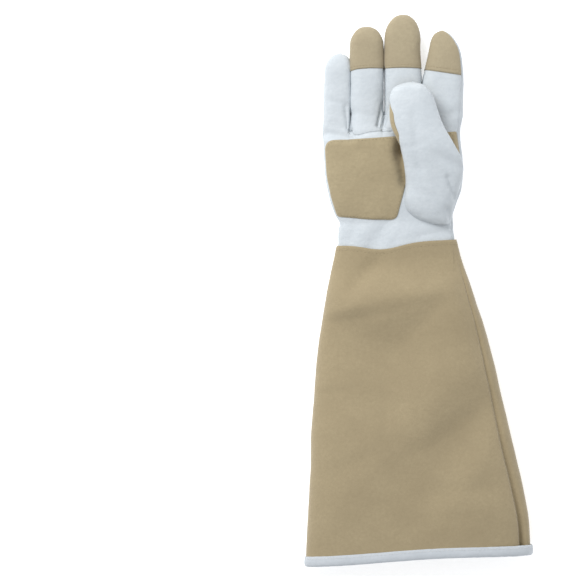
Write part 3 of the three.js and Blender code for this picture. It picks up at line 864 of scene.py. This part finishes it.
def cuff_columns(along):
    """Turns that are evenly spaced by length round each section, starting and ending at the lapped seam."""
    start = np.radians(cuff_seam(along))
    turns = start[:, None] + turn_table[::-1][None, :] - 2 * np.pi
    ring = cuff_point(np.broadcast_to(along[:, None], turns.shape), turns)
    steps = np.linalg.norm(np.diff(ring, axis=1), axis=2)
    length = np.concatenate([np.zeros((len(along), 1)), np.cumsum(steps, axis=1)], 1)
    rows = [np.interp(around, length[i] / length[i, -1], turns[i]) for i in range(len(along))]
    return np.stack(rows), length[:, -1]


cuff_turns, cuff_girth = cuff_columns(cuff_alongs)
cuff_grid = cuff_point(np.broadcast_to(cuff_alongs[:, None], cuff_turns.shape), cuff_turns)[::-1]
print("cuff girth from", round(cuff_girth[0]), "to", round(cuff_girth[-1]), "mm")
cuff_seam_line = dense(cuff_grid[:, 0])
cuff_edge_line = cuff_grid[-1]
cuff_stitch_drop = 3.4
extra_folds = photo_folds(
    (372, 267, 353, 285, 2.6, 7.5),
    (338, 470, 362, 458, 0.7, 8.0),
    (440, 492, 486, 488, 0.9, 9.0),
    (492, 524, 503, 542, 0.8, 5.0),
    (462, 290, 486, 372, 1.0, 5.5),
)


def cuff_relief(points, normals):
    """Along the lapped seam the leather sinks in, narrow and deep within wide and shallow, more so at the hem.

    To the left of the seam's wrist end it curls down and swells a little instead. The top edge is turned under
    and topstitched 3.4 mm down, and slow swells keep the leather from looking like sheet.
    """
    nearest = distance_to(points, cuff_seam_line)
    end_x = np.interp(-points[:, 1], -cuff_seam_line[:, 1], cuff_seam_line[:, 0])
    beyond = (points[:, 0] > end_x) | (normals[:, 2] < 0)
    down = np.clip((wrist_y - points[:, 1]) / cuff_length, 0, 1)
    from_hem = points[:, 1] - (wrist_y - cuff_length + hem_rise / 2 + hem_rise / hem_width * points[:, 0])
    gap = (1.1 + 5.5 * down ** 1.7) * step(0.03, 0.12, down) * (0.2 + 0.8 * step(0.5, 8, from_hem))
    curl = -gap * np.exp(-(nearest / (0.6 + 0.9 * down)) ** 2) + 0.35 * np.exp(-((nearest - 4.2) / 2.4) ** 2)
    lap = -gap * (0.85 * np.exp(-(nearest / (0.8 + 2.2 * down)) ** 2) + 0.15 * np.exp(-(nearest / 7) ** 2))
    edge = distance_to(points, cuff_edge_line)
    turned = 0.12 * step(5.5, 3.6, edge) - 0.2 * np.exp(-((edge - cuff_stitch_drop) / 0.6) ** 2)
    turned = turned - 0.3 * np.exp(-(edge / 0.8) ** 2)
    top = step(-0.1, 0.6, normals[:, 2])
    soft = ripple(points, (38, 30, 40), 21) * 0.7 + ripple(points, (17, 13, 15), 22) * 0.22
    soft = soft + ripple(points, (7, 6, 7), 23) * 0.07
    seam = np.where(beyond, lap, curl)
    return seam + turned + folds(points, extra_folds) * top + soft * step(0, 0.06, down)


cuff_made, cuff_out = sewn_surface([cuff_grid], cuff_relief)
leather_piece("cuff_leather", cuff_made, leather)

# %% [markdown]
# ## Hem binding
# A strip of pale leather is folded over the cuff's raw edge and stitched. Its profile is a soft U that is
# carried round the hem, with a puffed outside, a rounded lower edge and the same again inside.

# %% Binding
hem = cuff_point(np.full(321, 1.0), np.radians(np.linspace(360, 0, 321)))
hem[-1] = hem[0]
ahead = np.roll(hem[:-1], -1, axis=0) - np.roll(hem[:-1], 1, axis=0)
ahead /= np.linalg.norm(ahead, axis=1, keepdims=True)
out = np.cross(np.array([0.0, -1.0, 0.0]), ahead)
out /= np.linalg.norm(out, axis=1, keepdims=True)
if (out[:, 2] * (hem[:-1, 2] - 12)).sum() < 0:
    out = -out
profile = np.array([
    [0.15, 7.9], [0.75, 7.75], [1.15, 7.1], [1.38, 5.9], [1.5, 4.4], [1.5, 2.8], [1.35, 1.3], [0.9, 0.2],
    [0.2, -0.45], [-0.7, -0.7], [-1.6, -0.45], [-2.3, 0.2], [-2.75, 1.3], [-2.9, 2.8], [-2.9, 4.4],
    [-2.78, 5.9], [-2.55, 7.1], [-2.15, 7.75], [-1.55, 7.9],
])
puff = 1 + 0.08 * ripple(hem[:-1], 14, 31) + 0.05 * ripple(hem[:-1], 5, 32)
ring_points = hem[:-1, None] + out[:, None] * (profile[None, :, :1] * puff[:, None, None])
ring_points = ring_points + np.array([0.0, 1.0, 0.0]) * profile[None, :, 1:]
binding_grid = np.concatenate([ring_points, ring_points[:1]])
back_hem = hem[160::-1]


def binding_relief(points, normals):
    """The stitch line pulls the binding in below its upper edge, and the leather puckers a little."""
    depth = points[:, 1] - np.interp(points[:, 0], back_hem[:, 0], back_hem[:, 1])
    return -0.28 * np.exp(-((depth - 6.2) / 0.6) ** 2) + ripple(points, (3.2, 3, 3.2), 33) * 0.12


binding_made, binding_out = sewn_surface([binding_grid], binding_relief)
leather_piece("hem_binding_leather", binding_made, binding_leather * 0.6)

# %% [markdown]
# ## Stitches
# Topstitching is a row of short thread loops. One loop is a small capsule, and a whole row is that
# capsule copied by numpy along a line, turned to the line's direction and bedded in the leather. Real
# thread is about 0.4 mm thick with 3 mm stitches; it is kept at that size, so close views show it and far
# views only a fine line.


# %% Stitch maker
def capsule(length, radius):
    """A thread loop: rings of six points along x that close at both ends, bowed down at the ends."""
    sides = 6
    place = np.array([-1, -0.8, -0.35, 0.35, 0.8, 1.0])
    size = np.array([0.25, 0.75, 1.0, 1.0, 0.75, 0.25]) * radius
    turn = np.arange(sides) / sides * 2 * np.pi
    across, up = np.outer(size, np.cos(turn)).ravel(), np.outer(size, np.sin(turn)).ravel()
    ring = np.stack([np.repeat(place * length / 2, sides), across, up], -1)
    ring[:, 2] -= (ring[:, 0] / length * 2) ** 2 * radius * 0.9
    index = np.arange(len(place) * sides).reshape(len(place), sides)
    wrap = np.roll(index, -1, axis=1)
    quads = np.stack([index[:-1], wrap[:-1], wrap[1:], index[1:]], -1).reshape(-1, 4)
    ends = [index[0][::-1].tolist(), index[-1].tolist()]
    return ring, quads[:, ::-1], ends


def stitch_row(name, lines, pitch=3.1, radius=0.24):
    """Stitches along lines of points and normals, each 0.72 of the pitch long and 0.1 mm proud."""
    base, quads, ends = capsule(pitch * 0.72, radius)
    points, faces = [], []
    for line, normal in lines:
        length = length_along(line)
        at = np.arange(pitch / 2, length[-1], pitch)
        centre, up = read_along(at, length, line), read_along(at, length, normal)
        up /= np.linalg.norm(up, axis=1, keepdims=True)
        ahead = read_along(at + 0.4, length, line) - read_along(at - 0.4, length, line)
        ahead -= (ahead * up).sum(1, keepdims=True) * up
        ahead /= np.linalg.norm(ahead, axis=1, keepdims=True) + 1e-9
        side = np.cross(up, ahead)
        made = centre[:, None] + up[:, None] * 0.1 + base[None, :, :1] * ahead[:, None]
        made = made + base[None, :, 1:2] * side[:, None] + base[None, :, 2:] * up[:, None]
        made[..., 2] = np.maximum(made[..., 2], 0)
        shift = sum(len(part) for part in points) + np.arange(len(at)) * len(base)
        points.append(made.reshape(-1, 3))
        faces += (quads[None] + shift[:, None, None]).reshape(-1, 4).tolist()
        faces += [[corner + move for corner in end] for move in shift.tolist() for end in ends]
    new_piece(name, np.concatenate(points), faces)


# %% Rows of stitches
stitch_at = int(np.argmin(np.abs(cuff_alongs[::-1] * cuff_length - cuff_stitch_drop)))
ring_at = int(np.argmin(np.abs(shares - stitch_share)))
hem_lines = [(binding_made[0][:, column], binding_out[0][:, column]) for column in (-4, 3)]
stitch_row("cuff_topstitch", [(cuff_made[0][stitch_at], cuff_out[0][stitch_at])])
stitch_row("patch_topstitch", [(patch_made[0][ring_at], patch_out[0][ring_at])], 2.9, 0.22)
stitch_row("fingertip_topstitch", [(grid[2], normals[2]) for grid, normals in caps], 2.6, 0.2)
stitch_row("hem_topstitch", hem_lines, 3.2, 0.26)

# %% [markdown]
# ## Materials
# The leathers are procedural and read Object coordinates, which here are metres in the shared frame, so a
# grain of one size runs evenly over every panel. Colours are hex values, turned to linear by one
# function.


# %% Node helpers
def linear(code):
    """An sRGB hex colour as the linear values that shaders use."""
    values = np.array([int(code[i:i + 2], 16) for i in (0, 2, 4)]) / 255
    values = np.where(values <= 0.04045, values / 12.92, ((values + 0.055) / 1.055) ** 2.4)
    return (*values.tolist(), 1.0)


def add(material, kind, links=None, **settings):
    """Adds one node, sets its sockets and properties by name, and links other outputs to its inputs."""
    node = material.node_tree.nodes.new(kind)
    for key, value in settings.items():
        if key in node.inputs:
            node.inputs[key].default_value = value
        else:
            setattr(node, key, value)
    for key, source in (links or {}).items():
        material.node_tree.links.new(source, node.inputs[key])
    return node


def new_material(name):
    """An empty node material."""
    material = bpy.data.materials.new(name)
    material.use_nodes = True
    material.node_tree.nodes.clear()
    return material


def leather_material(name, light, dark, grain_mm, grain_height, rough, sheen, mottle_mm, spread, seed):
    """A leather: two colours mixed by soft mottling, and a bumped grain over a softer unevenness.

    The mix reads one half plus the product of two noises, each about one half, so it centres on 0.75.
    """
    centre, gloss_change = 0.75, 0.07
    material = new_material(name)
    place = add(material, "ShaderNodeTexCoord").outputs["Object"]
    moved = add(material, "ShaderNodeMapping", {"Vector": place}, Location=(seed, seed * 0.7, 0))
    vector = {"Vector": moved.outputs["Vector"]}
    mottle = add(material, "ShaderNodeTexNoise", vector, Scale=1000 / mottle_mm, Detail=5.0, Roughness=0.6)
    fine_scale = 1000 / (grain_mm * 2.2)
    fine = add(material, "ShaderNodeTexNoise", vector, Scale=fine_scale, Detail=3.0, Roughness=0.65)
    noises = {0: mottle.outputs["Fac"], 1: fine.outputs["Fac"]}
    both = add(material, "ShaderNodeMath", noises, operation="MULTIPLY_ADD")
    mix = add(material, "ShaderNodeMapRange", {"Value": both.outputs[0]})
    mix.inputs["From Min"].default_value = centre - spread
    mix.inputs["From Max"].default_value = centre + spread
    colour = add(material, "ShaderNodeMix", {"Factor": mix.outputs["Result"]}, data_type="RGBA")
    colour.inputs[6].default_value = linear(dark)
    colour.inputs[7].default_value = linear(light)
    cells = add(material, "ShaderNodeTexVoronoi", vector,
                Scale=1000 / grain_mm, feature="SMOOTH_F1", Smoothness=0.6)
    soft = add(material, "ShaderNodeTexNoise", vector, Scale=1000 / (grain_mm * 4), Detail=4.0)
    height = {"Height": cells.outputs["Distance"]}
    bump = add(material, "ShaderNodeBump", height, Strength=1.0, Distance=grain_height * MM)
    height = {"Height": soft.outputs["Fac"], "Normal": bump.outputs["Normal"]}
    rise = add(material, "ShaderNodeBump", height, Strength=1.0, Distance=grain_height * 2.2 * MM)
    gloss = add(material, "ShaderNodeMapRange", {"Value": fine.outputs["Fac"]})
    gloss.inputs["To Min"].default_value = rough - gloss_change
    gloss.inputs["To Max"].default_value = rough + gloss_change
    shader = add(material, "ShaderNodeBsdfPrincipled", {
        "Base Color": colour.outputs[2],
        "Roughness": gloss.outputs["Result"],
        "Normal": rise.outputs["Normal"],
    })
    shader.inputs["IOR"].default_value = 1.45
    shader.inputs["Sheen Weight"].default_value = sheen
    shader.inputs["Sheen Roughness"].default_value = 0.5
    shader.inputs["Specular IOR Level"].default_value = 0.3
    add(material, "ShaderNodeOutputMaterial", {"Surface": shader.outputs["BSDF"]})
    return material


# %% The finishes
grain = leather_material("Pale grain leather", "CFD5D9", "C2C9CE", 1.5, 0.12, 0.55, 0.05, 22, 0.22, 0.0)
split = leather_material("Tan split leather", "AD9F80", "9C8E71", 1.1, 0.1, 0.82, 0.25, 26, 0.24, 0.3)
tip_split = leather_material("Tan split leather of the fingertips",
                             "AFA387", "9F9279", 1.1, 0.1, 0.82, 0.25, 26, 0.24, 0.5)
cuff_split = leather_material("Tan split leather of the cuff",
                              "A99A7B", "998A6D", 1.1, 0.1, 0.84, 0.25, 34, 0.24, 0.8)
bound = leather_material("Pale binding leather", "C9CED3", "BBC1C6", 1.3, 0.1, 0.6, 0.05, 14, 0.22, 0.6)
pale_thread = leather_material("Pale polyester thread", "DADCDC", "C4C7C8", 0.5, 0.05, 0.6, 0.1, 3, 0.2, 0.9)
tan_thread = leather_material("Tan polyester thread", "AA9C7E", "9A8C70", 0.5, 0.05, 0.6, 0.1, 3, 0.2, 1.2)

dressing = [
    ("palm_leather", grain, "white_leather", ["palm_panel"]),
    ("finger_front_leather", grain, "white_leather", ["finger_front"]),
    ("back_leather", grain, "white_leather", ["back_panel"]),
    ("little_ring_strip", grain, "white_leather", ["little_ring_side_strip"]),
    ("ring_middle_strip", grain, "white_leather", ["ring_middle_side_strip"]),
    ("middle_index_strip", grain, "white_leather", ["middle_index_side_strip"]),
    ("ring_tip_cap", tip_split, "tan_leather", ["ring_tip"]),
    ("middle_tip_cap", tip_split, "tan_leather", ["middle_tip"]),
    ("index_tip_cap", tip_split, "tan_leather", ["index_tip"]),
    ("palm_patch_leather", split, "tan_leather", ["palm_patch"]),
    ("thumb_leather", grain, "white_leather", ["thumb"]),
    ("thumb_patch_leather", split, "tan_leather", ["thumb_patch"]),
    ("cuff_leather", cuff_split, "tan_leather", ["cuff"]),
    ("hem_binding_leather", bound, "white_binding", ["hem_binding"]),
    ("cuff_topstitch", tan_thread, "tan_leather", []),
    ("patch_topstitch", tan_thread, "tan_leather", []),
    ("fingertip_topstitch", tan_thread, "tan_leather", []),
    ("hem_topstitch", pale_thread, "white_binding", []),
]
for name, material, slot, nodes in dressing:
    piece = pieces[name]
    piece.data.materials.append(material)
    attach(piece, "root")
    if nodes:
        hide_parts(*nodes)
print("dressed", len(dressing), "pieces")

# %% [markdown]
# ## Floor, light and camera
# The photo is a plain product shot from straight above on white. Its dents are dark on the side that
# faces the hem, so the main softbox stands beyond the fingertips, to the left. A bright world keeps the
# shadows faint, and a long lens from three metres up keeps the glove free of perspective.

# %% Studio
floor_mesh = bpy.data.meshes.new("studio_floor")
floor_half, floor_z = 3.0, -0.0005
corners = [(x * floor_half, y * floor_half, floor_z) for x, y in ((-1, -1), (1, -1), (1, 1), (-1, 1))]
floor_mesh.from_pydata(corners, [], [(0, 1, 2, 3)])
floor = bpy.data.objects.new("studio_floor", floor_mesh)
bpy.context.scene.collection.objects.link(floor)
paper = new_material("White studio paper")
paper_shader = add(paper, "ShaderNodeBsdfPrincipled", Roughness=0.9)
paper_shader.inputs["Base Color"].default_value = linear("FFFFFF")
paper_shader.inputs["Emission Color"].default_value = linear("FFFFFF")
paper_shader.inputs["Emission Strength"].default_value = 0.45
add(paper, "ShaderNodeOutputMaterial", {"Surface": paper_shader.outputs["BSDF"]})
floor_mesh.materials.append(paper)

world = bpy.data.worlds.new("Soft studio")
bpy.context.scene.world = world
world.use_nodes = True
world.node_tree.nodes["Background"].inputs["Color"].default_value = linear("FAFCFF")
world.node_tree.nodes["Background"].inputs["Strength"].default_value = 0.6


def lamp(name, place, target, size, power):
    """A square soft light at a place, turned towards a target."""
    data = bpy.data.lights.new(name, "AREA")
    data.shape = "SQUARE"
    data.size = size
    data.energy = power
    light = bpy.data.objects.new(name, data)
    bpy.context.scene.collection.objects.link(light)
    light.location = place
    away = np.array(place, float) - np.array(target, float)
    tilt = np.arctan2(np.hypot(away[0], away[1]), away[2])
    light.rotation_euler = (tilt, 0, np.arctan2(away[1], away[0]) + np.pi / 2)


lamp("Key softbox", (-0.85, 1.1, 1.2), (-0.05, 0, 0), 0.9, 24.6)
lamp("Right fill", (1.2, -0.3, 1.1), (0, 0, 0), 0.9, 3)

camera_data = bpy.data.cameras.new("Photo camera")
camera = bpy.data.objects.new("Photo camera", camera_data)
bpy.context.scene.collection.objects.link(camera)
camera.location = (-0.1062, 0.002, 3.02)
sensor_width, view_distance, view_width = 36, 3.0, 0.4687
camera_data.sensor_width = sensor_width
camera_data.lens = sensor_width * view_distance / view_width
camera_data.clip_end = 20
bpy.context.scene.camera = camera
bpy.context.scene.view_settings.view_transform = "Standard"
print("lens", round(camera_data.lens, 1), "mm")
